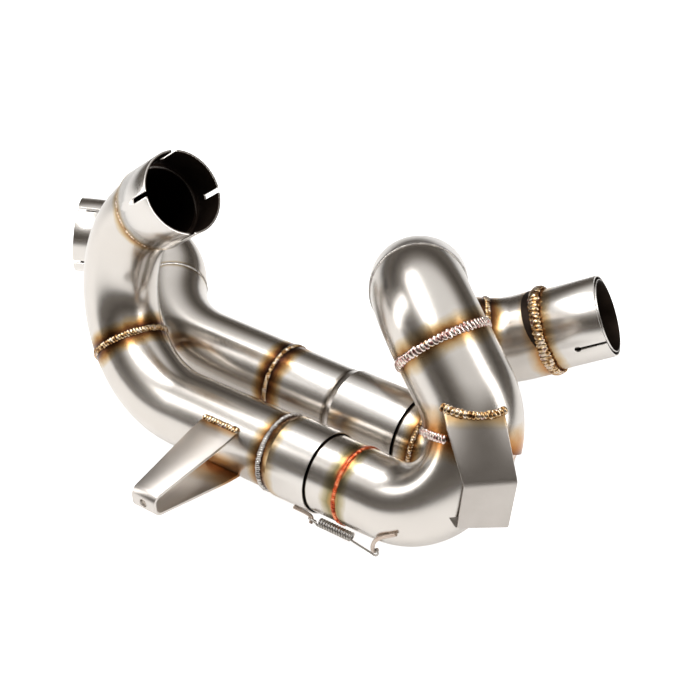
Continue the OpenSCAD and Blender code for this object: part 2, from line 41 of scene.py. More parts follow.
# The bend table in millimetres, as the solids have it: corner points and bend radii
frontLine = [(-38.6, -42.5, 170.1), (-131, -34.7, 97.6), (-52.3, -71.4, 24.7), (196.6, -79.5, 37.5),
             (188.3, -44.5, 96.1), (125.8, -22.7, 151), (85.7, 51.2, 105), (69.9, 77.3, 42),
             (117.8, 110.8, 39), (179.9, 138.8, 70.4)]
frontRadius = [64, 80, 42, 45, 48.5, 55, 44.7, 59]
rearLine = [(-209.5, 24.6, 52.4), (-150.1, 64.2, 46), (-89.9, -5.9, 27), (168.6, -5.9, 27), (188.3, -44.5, 96.1)]
rearRadius = [46, 81, 46]
frontLine = [Vector(p) for p in frontLine]
rearLine = [Vector(p) for p in rearLine]
tube = {"header": 50.8, "collector": 60.3, "wall": 1.5, "sleeve": 54.0, "topSeam": 0.73}


def heading(line, i):
    return (line[i + 1] - line[i]).normalized()


def turnOf(line, i):
    return heading(line, i - 1).angle(heading(line, i))


def bendStart(line, radius, i):
    return line[i] - heading(line, i - 1) * radius[i - 1] * math.tan(turnOf(line, i) / 2)


def bendEnd(line, radius, i):
    return line[i] + heading(line, i) * radius[i - 1] * math.tan(turnOf(line, i) / 2)


def inward(line, i):
    return (heading(line, i) - heading(line, i - 1) * math.cos(turnOf(line, i))).normalized()


def bendCentre(line, radius, i):
    return bendStart(line, radius, i) + inward(line, i) * radius[i - 1]


def bendNormal(line, i):
    return heading(line, i - 1).cross(heading(line, i)).normalized()


def alongBend(line, radius, i, a):
    sideways = heading(line, i - 1) * math.sin(a) - inward(line, i) * math.cos(a)
    return bendCentre(line, radius, i) + sideways * radius[i - 1]


def headingInBend(line, i, a):
    return heading(line, i - 1) * math.cos(a) + inward(line, i) * math.sin(a)


def frontAt(x):
    run = heading(frontLine, 2)
    return frontLine[2] + run * ((x - frontLine[2].x) / run.x)


# Where each seam lies: its centre, the pipe's heading there and the pipe's diameter
topAngle = turnOf(frontLine, 5) * tube["topSeam"]
outletSeam = bendEnd(frontLine, frontRadius, 8) + heading(frontLine, 8) * 17.2
frontSlip = frontAt(68.1) + heading(frontLine, 2) * 36
header, collector = tube["header"], tube["collector"]
seams = {
    "frontInlet": (frontLine[0] + heading(frontLine, 0) * 38, heading(frontLine, 0), header),
    "frontElbow": (bendEnd(frontLine, frontRadius, 1), heading(frontLine, 1), header),
    "frontSleeve": (frontAt(67.1), heading(frontLine, 2), header),
    "frontSlip": (frontSlip, heading(frontLine, 2), header),
    "frontSpigot": (frontSlip + heading(frontLine, 2) * 23, heading(frontLine, 2), header),
    "collectorBase": (bendStart(frontLine, frontRadius, 4), heading(frontLine, 3), collector),
    "riser": (bendStart(frontLine, frontRadius, 5), heading(frontLine, 4), collector),
    "top": (alongBend(frontLine, frontRadius, 5, topAngle), headingInBend(frontLine, 5, topAngle), collector),
    "back": (bendEnd(frontLine, frontRadius, 6), heading(frontLine, 6), collector),
    "cross": (bendStart(frontLine, frontRadius, 8), heading(frontLine, 7), collector),
    "outlet": (outletSeam, heading(frontLine, 8), collector),
    "rearInlet": (rearLine[0] + heading(rearLine, 0) * 32, heading(rearLine, 0), header),
    "rearElbow": (bendEnd(rearLine, rearRadius, 1) + heading(rearLine, 1) * 10, heading(rearLine, 1), header),
    "rearSleeve": (Vector((15.1, -5.9, 27)), Vector((1, 0, 0)), header),
    "rearStep": (Vector((64.1, -5.9, 27)), Vector((1, 0, 0)), header),
    "rearSlip": (Vector((119.1, -5.9, 27)), Vector((1, 0, 0)), header),
    "rearSpigot": (bendStart(rearLine, rearRadius, 3), Vector((1, 0, 0)), header),
}


def hexToLinear(code):
    parts = [int(code[k:k + 2], 16) / 255 for k in (1, 3, 5)]
    return tuple(c / 12.92 if c <= 0.04045 else ((c + 0.055) / 1.055) ** 2.4 for c in parts) + (1.0,)


def addNode(tree, kind, settings=None, inputs=None):
    node = tree.nodes.new(kind)
    for name, value in (settings or {}).items():
        setattr(node, name, value)
    for name, value in (inputs or {}).items():
        if isinstance(value, bpy.types.NodeSocket):
            tree.links.new(value, node.inputs[name])
        else:
            node.inputs[name].default_value = value
    return node


def maths(tree, operation, a, b=0.0, clamp=False):
    return addNode(tree, "ShaderNodeMath", {"operation": operation, "use_clamp": clamp}, {0: a, 1: b}).outputs[0]


# Oxide colours of stainless steel beside a weld, from the bead outwards, and soot with painted shadow at the slip
# lines; white leaves the steel as it is
tints = {
    "brown": [(0.0, "#4A2E1E"), (0.14, "#7A4E2C"), (0.3, "#B98B58"), (0.5, "#DCC093"), (0.75, "#F2E6CF"), (1.0,
        "#FFFFFF")],
    "dark": [(0.0, "#2A1A14"), (0.18, "#4E2F22"), (0.36, "#8A5C36"), (0.55, "#C9A068"), (0.78, "#EEDDBE"), (1.0,
        "#FFFFFF")],
    "copper": [(0.0, "#C4532F"), (0.13, "#D9764C"), (0.24, "#C9A46C"), (0.42, "#A9A078"), (0.7, "#DDD6BE"), (1.0,
        "#FFFFFF")],
    "orange": [(0.0, "#8E5A34"), (0.2, "#C98748"), (0.42, "#E2B07A"), (0.68, "#F3DDBE"), (1.0, "#FFFFFF")],
    "faint": [(0.0, "#C9B08A"), (0.35, "#E8DAC0"), (1.0, "#FFFFFF")],
    # soot and painted shadow: a near-black line in the gap at each sleeve's mouth
    "sootAndShade": [(0.0, "#0C0A09"), (0.45, "#1C1714"), (0.8, "#8A8178"), (1.0, "#FFFFFF")],
    "line": [(0.0, "#8C857E"), (0.5, "#B8B2AB"), (1.0, "#FFFFFF")],
}


def ramp(tree, factor, stops):
    node = addNode(tree, "ShaderNodeValToRGB", None, {"Fac": factor})
    elements = node.color_ramp.elements
    while len(elements) < len(stops):
        elements.new(0.5)
    for element, (at, code) in zip(elements, stops):
        element.position = at
        element.color = hexToLinear(code)
    return node.outputs["Color"]


def mixColour(tree, factor, a, b, blend="MIX"):
    node = addNode(tree, "ShaderNodeMix", {"data_type": "RGBA", "blend_type": blend}, {0: factor, 6: a, 7: b})
    return node.outputs[2]


def noise(tree, position, spacing, detail=3.0, roughness=0.5):
    # spacing is the size of one blotch in millimetres
    node = addNode(tree, "ShaderNodeTexNoise", None,
                   {"Vector": position, "Scale": 1 / spacing, "Detail": detail, "Roughness": roughness})
    return node.outputs[0]


def millimetres(tree):
    place = addNode(tree, "ShaderNodeTexCoord")
    return addNode(tree, "ShaderNodeVectorMath", {"operation": "SCALE"},
                   {0: place.outputs["Object"], "Scale": 1000.0}).outputs[0]


def seamTint(tree, position, colour, seam, reach, tint, wobble=0.35):
    # colours the steel by its distance from the seam's plane, near that seam only
    centre, axis, diameter = seam
    away = addNode(tree, "ShaderNodeVectorMath", {"operation": "SUBTRACT"}, {0: position,
        1: tuple(centre)}).outputs[0]
    plane = addNode(tree, "ShaderNodeVectorMath", {"operation": "DOT_PRODUCT"}, {0: away,
        1: tuple(axis)}).outputs["Value"]
    radial = addNode(tree, "ShaderNodeVectorMath", {"operation": "LENGTH"}, {0: away}).outputs["Value"]
    ragged = maths(tree, "MULTIPLY_ADD", noise(tree, position, 13, 4), reach * wobble * 2)
    ragged.node.inputs[2].default_value = -reach * wobble
    distance = maths(tree, "ADD", maths(tree, "ABSOLUTE", plane), ragged)
    shade = ramp(tree, maths(tree, "DIVIDE", distance, reach, True), tints[tint])
    near = maths(tree, "LESS_THAN", radial, diameter / 2 + reach * 0.9)
    return mixColour(tree, near, colour, mixColour(tree, 1.0, colour, shade, "MULTIPLY"))


def insideOfLeg(tree, position, start, end, radius):
    # 1 where a point lies within radius of the leg's axis, between its two ends
    axis = (end - start).normalized()
    away = addNode(tree, "ShaderNodeVectorMath", {"operation": "SUBTRACT"}, {0: position, 1: tuple(start)}).outputs[0]
    across = addNode(tree, "ShaderNodeVectorMath", {"operation": "CROSS_PRODUCT"}, {0: away,
        1: tuple(axis)}).outputs[0]
    distance = addNode(tree, "ShaderNodeVectorMath", {"operation": "LENGTH"}, {0: across}).outputs["Value"]
    along = addNode(tree, "ShaderNodeVectorMath", {"operation": "DOT_PRODUCT"}, {0: away,
        1: tuple(axis)}).outputs["Value"]
    between = maths(tree, "MULTIPLY", maths(tree, "GREATER_THAN", along, -2.0), maths(tree, "LESS_THAN", along,
        (end - start).length))
    return maths(tree, "MULTIPLY", maths(tree, "LESS_THAN", distance, radius), between)


def insideOfBend(tree, position, line, radii, i, radius):
    centre, axis = bendCentre(line, radii, i), bendNormal(line, i)
    away = addNode(tree, "ShaderNodeVectorMath", {"operation": "SUBTRACT"}, {0: position,
        1: tuple(centre)}).outputs[0]
    height = addNode(tree, "ShaderNodeVectorMath", {"operation": "DOT_PRODUCT"}, {0: away,
        1: tuple(axis)}).outputs["Value"]
    across = addNode(tree, "ShaderNodeVectorMath", {"operation": "CROSS_PRODUCT"}, {0: away,
        1: tuple(axis)}).outputs[0]
    reach = addNode(tree, "ShaderNodeVectorMath", {"operation": "LENGTH"}, {0: across}).outputs["Value"]
    offset = maths(tree, "SUBTRACT", reach, radii[i - 1])
    squared = maths(tree, "ADD", maths(tree, "MULTIPLY", offset, offset), maths(tree, "MULTIPLY", height, height))
    return maths(tree, "LESS_THAN", maths(tree, "SQRT", squared), radius)


def steelMaterial(name, look, tinted=(), inside=None, turned=None):
    # satin stainless: bright metal with a fine grain, heat tints at its seams, and painted shade inside its bores
    material = bpy.data.materials.new(name)
    material.use_nodes = True
    tree = material.node_tree
    tree.nodes.clear()
    position = millimetres(tree)
    blotch = noise(tree, position, look["blotch"], 4)
    colour = mixColour(tree, blotch, hexToLinear(look["light"]), hexToLinear(look["shade"]))
    for seam, reach, tint in tinted:
        colour = seamTint(tree, position, colour, seams[seam], reach, tint)
    if turned is None:
        grain = noise(tree, position, look["grain"], 2, 0.6)
    else:  # a turned or linished surface: lines round the axis
        axis = turned.normalized()
        along = addNode(tree, "ShaderNodeVectorMath", {"operation": "DOT_PRODUCT"}, {0: position,
            1: tuple(axis)}).outputs["Value"]
        lines = addNode(tree, "ShaderNodeTexNoise", {"noise_dimensions": "1D"},
                        {"W": along, "Scale": 1 / look["grain"], "Detail": 3.0}).outputs[0]
        grain = maths(tree, "ADD", maths(tree, "MULTIPLY", lines, 0.8), maths(tree, "MULTIPLY", noise(tree, position,
            2.5, 2), 0.2))
    roughness = maths(tree, "MULTIPLY_ADD", grain, look["spread"])
    roughness.node.inputs[2].default_value = look["rough"]
    if inside is not None:
        # painted shade: inside the bore the steel is coloured near black and made rougher
        within = inside(tree, position)
        sootAndShade = mixColour(tree, noise(tree, position, 9, 4), hexToLinear("#1A1512"), hexToLinear("#3A2F28"))
        colour = mixColour(tree, within, colour, sootAndShade)
        roughness = maths(tree, "MAXIMUM", roughness, maths(tree, "MULTIPLY", within, 0.55))
    bump = addNode(tree, "ShaderNodeBump", None, {"Strength": look["bump"], "Distance": 0.0001, "Height": grain})
    shader = addNode(tree, "ShaderNodeBsdfPrincipled", None,
                     {"Metallic": 1.0, "Base Color": colour, "Roughness": roughness, "Normal": bump.outputs[0]})
    addNode(tree, "ShaderNodeOutputMaterial", None, {"Surface": shader.outputs[0]})
    return material


satin = {"light": "#D6D1CB", "shade": "#C6BFB7", "blotch": 38, "grain": 0.9, "rough": 0.19, "spread": 0.1,
    "bump": 0.05}
brushed = dict(satin, light="#DAD6D1", shade="#CEC8C1", grain=0.7, rough=0.2, spread=0.09, bump=0.04)
sheet = dict(satin, light="#CFC9C3", shade="#BDB5AD", blotch=22, grain=1.1, rough=0.26, spread=0.16, bump=0.15)
boreRadius = header / 2 - tube["wall"] + 0.4
wideRadius = collector / 2 - tube["wall"] + 0.4


def eitherOf(*tests):
    def inside(tree, position):
        total = tests[0](tree, position)
        for test in tests[1:]:
            total = maths(tree, "MAXIMUM", total, test(tree, position))
        return total
    return inside


def leg(start, end, radius):
    return lambda tree, position: insideOfLeg(tree, position, start, end, radius)


def bend(line, radii, i, radius):
    return lambda tree, position: insideOfBend(tree, position, line, radii, i, radius)


frontMouth, rearMouth, outletMouth = frontLine[0], rearLine[0], frontLine[9]
frontBend, rearBend = bendStart(frontLine, frontRadius, 1), bendStart(rearLine, rearRadius, 1)
outletBend = bendEnd(frontLine, frontRadius, 8)
# Each tube's seams, with the reach of the heat in millimetres, and the bore that is painted in shade
tubeFinish = {
    "front_inlet_socket": (brushed, [("frontInlet", 7, "brown")], leg(frontMouth, frontBend, 26.6 + 0.5),
        heading(frontLine, 0)),
    "front_upper_elbow": (satin, [("frontInlet", 10, "brown"), ("frontElbow", 12, "dark")],
                          eitherOf(leg(frontMouth, frontBend, boreRadius), bend(frontLine, frontRadius, 1,
                              boreRadius)), None),
    "front_lower_elbow": (satin, [("frontElbow", 12, "dark"), ("frontSleeve", 11, "brown")], None, None),
    "front_slip_sleeve": (brushed, [("frontSleeve", 14, "brown"), ("frontSlip", 1.0, "sootAndShade")], None,
        heading(frontLine, 2)),
    "front_spigot": (satin, [("frontSlip", 1.6, "sootAndShade"), ("frontSpigot", 11, "copper")], None, None),
    "front_collector_elbow": (satin, [("frontSpigot", 9, "copper"), ("collectorBase", 16, "orange")], None, None),
    "rear_inlet_socket": (brushed, [("rearInlet", 7, "brown")], leg(rearMouth, rearBend, 26.6 + 0.5),
        heading(rearLine, 0)),
    "rear_upper_elbow": (satin, [("rearInlet", 9, "brown"), ("rearElbow", 4, "faint")],
                         eitherOf(leg(rearMouth, rearBend, boreRadius), bend(rearLine, rearRadius, 1,
                             boreRadius)), None),
    "rear_lower_elbow": (satin, [("rearElbow", 4, "faint"), ("rearSleeve", 12, "dark")], None, None),
    "rear_slip_sleeve": (brushed, [("rearSleeve", 14, "dark"), ("rearStep", 3, "line"), ("rearSlip", 1.0, "sootAndShade")],
        None, Vector((1, 0, 0))),
    "rear_spigot": (satin, [("rearSlip", 2.2, "sootAndShade"), ("rearSpigot", 10, "brown")], None, None),
    "rear_collector_elbow": (satin, [("rearSpigot", 10, "brown"), ("collectorBase", 16, "orange")], None, None),
    "collector_riser": (satin, [("collectorBase", 18, "orange"), ("riser", 12, "brown")], None, None),
    "riser_top_elbow": (satin, [("riser", 12, "brown")], None, None),
    "return_elbow": (satin, [("back", 10, "brown")], None, None),
    "cross_elbow": (satin, [("back", 10, "brown"), ("cross", 12, "dark")], None, None),
    "outlet_elbow": (satin, [("cross", 11, "dark"), ("outlet", 13, "orange")],
                     eitherOf(leg(outletBend, outletMouth, 26.5), bend(frontLine, frontRadius, 8, wideRadius)), None),
    "outlet_socket": (brushed, [("outlet", 12, "brown")], leg(outletBend, outletMouth + heading(frontLine, 8),
        27.15 + 0.4), heading(frontLine, 8)),
    "outlet_inner_tube": (brushed, [], leg(outletBend, outletMouth + heading(frontLine, 8), 25.3), heading(frontLine,
        8)),
}
for node, (look, tinted, inside, turned) in tubeFinish.items():
    steel = steelMaterial("satinStainless_" + node, look, tinted, inside, turned)
    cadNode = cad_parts[node]
    cadNode.data.materials.clear()
    cadNode.data.materials.append(steel)
print("stage: tubes finished")


# Weld beads: ripples laid one on the next along a path, like a row of tipped coins
def newSockets(tree, wanted):
    for name, kind in wanted:
        tree.interface.new_socket(name, in_out="INPUT", socket_type="NodeSocket" + kind)
    tree.interface.new_socket("Geometry", in_out="OUTPUT", socket_type="NodeSocketGeometry")


def rippleTree():
    tree = bpy.data.node_groups.new("weldRipples", "GeometryNodeTree")
    newSockets(tree, [("Geometry", "Geometry"), ("Ripples", "Int"), ("Half length", "Float"), ("Half width", "Float"),
                      ("Height", "Float"), ("Lean", "Float"), ("Centre", "Vector"), ("Seed", "Int"), ("Finish",
                          "Material")])
    entry = addNode(tree, "NodeGroupInput").outputs
    points = addNode(tree, "GeometryNodeResampleCurve", {"mode": "COUNT"},
                     {"Curve": entry["Geometry"], "Count": entry["Ripples"]}).outputs[0]
    place = addNode(tree, "GeometryNodeInputPosition").outputs[0]
    along = addNode(tree, "GeometryNodeInputTangent").outputs[0]
    outward = addNode(tree, "ShaderNodeVectorMath", {"operation": "SUBTRACT"}, {0: place,
        1: entry["Centre"]}).outputs[0]
    upright = addNode(tree, "FunctionNodeAlignRotationToVector", {"axis": "Z"}, {"Vector": outward}).outputs[0]
    facing = addNode(tree, "FunctionNodeAlignRotationToVector", {"axis": "X", "pivot_axis": "Z"},
                     {"Rotation": upright, "Vector": along}).outputs[0]
    lean = addNode(tree, "ShaderNodeCombineXYZ", None, {"Y": entry["Lean"]}).outputs[0]
    tip = addNode(tree, "FunctionNodeEulerToRotation", None, {0: lean}).outputs[0]
    turned = addNode(tree, "FunctionNodeRotateRotation", {"rotation_space": "LOCAL"}, {"Rotation": facing,
        "Rotate By": tip}).outputs[0]
    size = addNode(tree, "ShaderNodeCombineXYZ", None,
                   {"X": entry["Half length"], "Y": entry["Half width"], "Z": entry["Height"]}).outputs[0]
    uneven = addNode(tree, "FunctionNodeRandomValue", {"data_type": "FLOAT_VECTOR"},
                     {0: (0.85, 0.86, 0.82), 1: (1.15, 1.12, 1.18), "Seed": entry["Seed"]}).outputs[0]
    scaled = addNode(tree, "ShaderNodeVectorMath", {"operation": "MULTIPLY"}, {0: size, 1: uneven}).outputs[0]
    coin = addNode(tree, "GeometryNodeMeshUVSphere", None, {"Segments": 14, "Rings": 8, "Radius": 1.0}).outputs[0]
    row = addNode(tree, "GeometryNodeInstanceOnPoints", None,
                  {"Points": points, "Instance": coin, "Rotation": turned, "Scale": scaled}).outputs[0]
    solid = addNode(tree, "GeometryNodeRealizeInstances", None, {"Geometry": row}).outputs[0]
    smooth = addNode(tree, "GeometryNodeSetShadeSmooth", None, {"Geometry": solid}).outputs[0]
    finished = addNode(tree, "GeometryNodeSetMaterial", None, {"Geometry": smooth,
        "Material": entry["Finish"]}).outputs[0]
    addNode(tree, "NodeGroupOutput", None, {"Geometry": finished})
    return tree


def wireTree():
    tree = bpy.data.node_groups.new("sweptWire", "GeometryNodeTree")
    newSockets(tree, [("Geometry", "Geometry"), ("Wire radius", "Float"), ("Sides", "Int"), ("Finish", "Material")])
    entry = addNode(tree, "NodeGroupInput").outputs
    ring = addNode(tree, "GeometryNodeCurvePrimitiveCircle", None, {"Resolution": entry["Sides"],
        "Radius": entry["Wire radius"]}).outputs[0]
    swept = addNode(tree, "GeometryNodeCurveToMesh", None,
                    {"Curve": entry["Geometry"], "Profile Curve": ring, "Fill Caps": True}).outputs[0]
    real = addNode(tree, "GeometryNodeRealizeInstances", None, {"Geometry": swept}).outputs[0]
    smooth = addNode(tree, "GeometryNodeSetShadeSmooth", None, {"Geometry": real}).outputs[0]
    finished = addNode(tree, "GeometryNodeSetMaterial", None, {"Geometry": smooth,
        "Material": entry["Finish"]}).outputs[0]
    addNode(tree, "NodeGroupOutput", None, {"Geometry": finished})
    return tree


def pathObject(name, points, closed, smooth=False):
    # a curve through points given in millimetres
    curve = bpy.data.curves.new(name, "CURVE")
    curve.dimensions = "3D"
    spline = curve.splines.new("NURBS" if smooth else "POLY")
    spline.points.add(len(points) - 1)
    for knot, point in zip(spline.points, points):
        knot.co = (*(Vector(point) / 1000), 1)
    spline.use_cyclic_u = closed
    if smooth:
        spline.order_u = 4
        spline.use_endpoint_u = True
        spline.resolution_u = 4
    path = bpy.data.objects.new(name, curve)
    bpy.context.scene.collection.objects.link(path)
    return path


def runTree(path, tree, inputs):
    # evaluates the tree on the path and keeps the result as a plain mesh
    modifier = path.modifiers.new("shape", "NODES")
    modifier.node_group = tree
    for item in tree.interface.items_tree:
        if item.in_out == "INPUT" and item.name in inputs:
            modifier[item.identifier] = inputs[item.name]
    evaluated = path.evaluated_get(bpy.context.evaluated_depsgraph_get())
    mesh = bpy.data.meshes.new_from_object(evaluated)
    name = path.name
    curve = path.data
    bpy.data.objects.remove(path)
    bpy.data.curves.remove(curve)
    piece = bpy.data.objects.new(name, mesh)
    mesh.name = name
    bpy.context.scene.collection.objects.link(piece)
    return piece


def settle(piece, slot, *nodes):
    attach(piece, "root")
    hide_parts(*nodes)


def ringPoints(seam, lift, count=96, back=0.0):
    centre, axis, diameter = seam
    side = axis.cross(Vector((0, 0, 1)) if abs(axis.z) < 0.9 else Vector((1, 0, 0))).normalized()
    across = axis.cross(side)
    r = diameter / 2 + lift
    middle = centre + axis * back
    return [middle + (side * math.cos(2 * math.pi * k / count) + across * math.sin(2 * math.pi * k / count)) * r
            for k in range(count)]


def weldMaterial(name, look):
    # tungsten-welded stainless: glossy ripples whose oxide runs from silver through straw to rose and violet
    material = bpy.data.materials.new(name)
    material.use_nodes = True
    tree = material.node_tree
    tree.nodes.clear()
    position = millimetres(tree)
    patch = noise(tree, position, look["patch"], 2, 0.6)
    colour = ramp(tree, patch, look["colours"])
    crust = noise(tree, position, 0.8, 2, 0.6)
    bump = addNode(tree, "ShaderNodeBump", None, {"Strength": 0.35, "Distance": 0.00015, "Height": crust})
    shader = addNode(tree, "ShaderNodeBsdfPrincipled", None,
                     {"Metallic": 1.0, "Roughness": look["rough"], "Base Color": colour, "Normal": bump.outputs[0]})
    addNode(tree, "ShaderNodeOutputMaterial", None, {"Surface": shader.outputs[0]})
    return material


weldFinish = {
    "weld_gold": {"patch": 3.2, "rough": 0.24, "colours": [(0.3, "#4A3024"), (0.41, "#8A6238"), (0.5, "#C4A478"),
        (0.6, "#DDCFBC"), (0.7, "#8A5E5C")]},
    "weld_copper": {"patch": 3.5, "rough": 0.26, "colours": [(0.3, "#8E3A24"), (0.45, "#C9572F"), (0.6, "#E9946A"),
        (0.72, "#B56A4A")]},
    "weld_rose": {"patch": 2.6, "rough": 0.2, "colours": [(0.3, "#7C4A4E"), (0.4, "#B98A80"), (0.5, "#D8C8C0"), (0.6,
        "#E4DCD4"), (0.7, "#B99262")]},
    "weld_silver": {"patch": 4.0, "rough": 0.26, "colours": [(0.35, "#8F8A86"), (0.6, "#C9C4BE")]},
}
weldMetals = {name: weldMaterial("weldedStainless_" + name, look) for name, look in weldFinish.items()}
ripples = rippleTree()

# One ring weld per line: seam, width and height of the bead and ripple spacing in millimetres, finish
ringWelds = {
    "front_inlet_weld": ("frontInlet", 5.4, 1.5, 2.2, "weld_gold"),
    "front_elbow_weld": ("frontElbow", 5.0, 1.3, 2.2, "weld_gold"),
    "front_sleeve_weld": ("frontSleeve", 4.2, 1.6, 1.5, "weld_silver"),
    "front_spigot_weld": ("frontSpigot", 3.2, 0.8, 1.4, "weld_copper"),
    "rear_inlet_weld": ("rearInlet", 4.2, 1.1, 1.9, "weld_gold"),
    "rear_elbow_weld": ("rearElbow", 2.6, 0.6, 1.6, "weld_silver"),
    "rear_sleeve_weld": ("rearSleeve", 3.8, 1.0, 1.6, "weld_gold"),
    "rear_spigot_weld": ("rearSpigot", 4.0, 1.0, 1.9, "weld_gold"),
    "riser_weld": ("riser", 6.4, 1.2, 2.9, "weld_rose"),
    "top_weld": ("top", 3.4, 0.7, 1.7, "weld_silver"),
    "return_weld": ("back", 4.4, 1.1, 1.9, "weld_rose"),
    "cross_weld": ("cross", 4.6, 1.1, 2.0, "weld_gold"),
    "outlet_weld": ("outlet", 8.4, 1.7, 3.2, "weld_gold"),
}
for node, (seam, width, height, spacing, finish) in ringWelds.items():
    centre, _, diameter = seams[seam]
    path = pathObject("ripples_" + node, ringPoints(seams[seam], 0.0), True)
    bead = runTree(path, ripples, {
        "Ripples": round(math.pi * diameter / spacing), "Half length": spacing * 0.0008, "Half width": width * 0.0005,
        "Height": height * 0.001, "Lean": math.radians(18), "Centre": centre / 1000,
        "Seed": len(node), "Finish": weldMetals[finish]})
    settle(bead, finish, node)
print("stage: ring welds laid")

# The two curves where one pipe or plate runs into the riser, found by halving
def bendDistance(line, radii, i, point):
    away = point - bendCentre(line, radii, i)
    axis = bendNormal(line, i)
    height = away.dot(axis)
    return math.hypot((away - axis * height).length - radii[i - 1], height)


def legDistance(start, end, point):
    axis = (end - start).normalized()
    reach = min(max((point - start).dot(axis), 0), (end - start).length)
    return (point - start - axis * reach).length


def riserDepth(point):
    straight = legDistance(bendEnd(frontLine, frontRadius, 4), bendStart(frontLine, frontRadius, 5), point)
    return min(bendDistance(frontLine, frontRadius, 4, point), straight) - collector / 2


def crossing(at, low, high, depth):
    # the parameter between low and high at which depth changes its sign
    lowSide = depth(at(low)) > 0
    if (depth(at(high)) > 0) == lowSide:
        return None
    for halving in range(24):
        middle = (low + high) / 2
        if (depth(at(middle)) > 0) == lowSide:
            low = middle
        else:
            high = middle
    return at((low + high) / 2)


def branchPoint(turn, way):
    # a point on the rear branch: turn degrees round it, way millimetres past its bend
    last = turnOf(rearLine, 3)
    axis = bendNormal(rearLine, 3)
    if way < 0:
        a = last + way / rearRadius[2]
        middle, ahead = alongBend(rearLine, rearRadius, 3, a), headingInBend(rearLine, 3, a)
    else:
        ahead = heading(rearLine, 3)
        middle = bendEnd(rearLine, rearRadius, 3) + ahead * way
    return middle + (axis * math.cos(turn) + axis.cross(ahead) * math.sin(turn)) * header / 2


def outsideFrontElbow(point):
    return bendDistance(frontLine, frontRadius, 3, point) > header / 2 + 0.5


def outsideRearBranch(point):
    straight = legDistance(bendEnd(rearLine, rearRadius, 3), rearLine[4], point)
    return min(bendDistance(rearLine, rearRadius, 3, point), straight) > header / 2 + 0.5


def longestRun(points):
    # the longest unbroken stretch of a closed row that has gaps in it
    runs, run = [], []
    for point in points + points:
        if point is None:
            runs.append(run)
            run = []
        else:
            run.append(point)
    runs.append(run)
    return max(runs, key=len)[:len(points)]


def rowOfRipples(name, points, centre, size, finish, seed, closed=False):
    # size: spacing, width and height of the ripples in millimetres
    spacing, width, height = size
    length = sum((b - a).length for a, b in zip(points, points[1:]))
    return runTree(pathObject(name, points, closed), ripples, {
        "Ripples": max(3, round(length / spacing)), "Half length": spacing * 0.0008, "Half width": width * 0.0005,
        "Height": height * 0.001, "Lean": math.radians(18), "Centre": centre / 1000, "Seed": seed,
        "Finish": weldMetals[finish]})


def copied(node):
    # a CAD node's mesh, its doubled corners merged, as a piece of its own
    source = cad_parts[node]
    mesh = source.data.copy()
    mesh.name = "soft_" + node
    whole = bmesh.new()
    whole.from_mesh(mesh)
    bmesh.ops.remove_doubles(whole, verts=whole.verts, dist=0.00001)
    whole.to_mesh(mesh)
    whole.free()
    piece = bpy.data.objects.new("soft_" + node, mesh)
    piece.matrix_world = source.matrix_world
    bpy.context.scene.collection.objects.link(piece)
    return piece


def joined(name, pieces):
    first = pieces[0]
    whole = bmesh.new()
    for piece in pieces:
        whole.from_mesh(piece.data)
    whole.to_mesh(first.data)
    whole.free()
    for piece in pieces[1:]:
        bpy.data.objects.remove(piece)
    first.name = name
    return first


rightFoot, rightFace = Vector((199.6, -67, 111)), Vector((0.61, -0.79, 0)).normalized()
rightAcross = rightFace.cross(Vector((0, 0, 1)))


def behindStay(point):
    # true where the folded stay stands over a point of the riser
    away = point - rightFoot
    return away.dot(rightFace) > -14 and away.dot(rightAcross) < 17


baseCentre = seams["collectorBase"][0]
baseRing = [p if outsideRearBranch(p) and not behindStay(p) else None for p in ringPoints(seams["collectorBase"], 0.4,
    144, 0.6)]
baseRow = longestRun(baseRing)
branchRow = longestRun([crossing(lambda way, k=k: branchPoint(math.radians(2.5 * k), way), -60, 40,
    riserDepth) for k in range(144)])
branchRow = [p for p in branchRow if outsideFrontElbow(p)]
crotch = joined("ripples_collector_weld", [
    rowOfRipples("baseRipples", baseRow, baseCentre, (2.2, 5.2, 1.3), "weld_rose", 5),
    rowOfRipples("branchRipples", branchRow, bendEnd(rearLine, rearRadius, 3), (2.3, 5.0, 1.3), "weld_gold", 9)])
settle(crotch, "weld_rose", "collector_weld")

# Brackets: where each stands, and the way it faces
bracket = {"leftX": 31.4, "leftRoot": 29, "leftSeam": (18.6, 18.3)}
leftAxis = frontAt(bracket["leftX"])
frontRun = heading(frontLine, 2)
leftOut = (Vector((0, -1, 0)) + frontRun * frontRun.y).normalized()
leftUp = (-frontRun).cross(leftOut)
leftSeam = leftAxis + leftOut * bracket["leftSeam"][0] + leftUp * bracket["leftSeam"][1]
half = bracket["leftRoot"] / 2 - 1.2
leftRow = [leftSeam + frontRun * (half * k / 12) for k in range(-12, 13)]
leftBead = rowOfRipples("ripples_left_bracket_weld", leftRow, leftSeam - (leftOut * 0.75 + leftUp) * 900,
                        (2.1, 5.4, 1.5), "weld_gold", 3)
settle(leftBead, "weld_gold", "left_bracket_weld")


# The stay's outline, left and right end of each cross line: out from the foot, up, and along the riser
stay = {"columns": 24, "sheet": 2.0, "proud": 1.0, "rows": [
    ((-1.6, 2.2, 17.9), (-1.6, 2.2, -17.3)), ((3.7, -3.9, 16.3), (3.7, -3.9, -18.4)),
    ((21.0, -28.9, 7.4), (21.0, -25.9, -23.4)), ((22.4, -31.6, 6.8), (22.4, -28.4, -23.8)),
    ((22.7, -34.0, 6.9), (22.7, -31.0, -23.6)), ((22.7, -60.6, 8.9), (22.7, -60.2, -21.0)),
    ((22.1, -62.2, 9.4), (22.1, -61.8, -20.8)), ((20.6, -62.2, 10.2), (20.6, -61.8, -19.8)),
    ((8.7, -49.0, 21.3), (8.7, -48.6, -8.7))]}


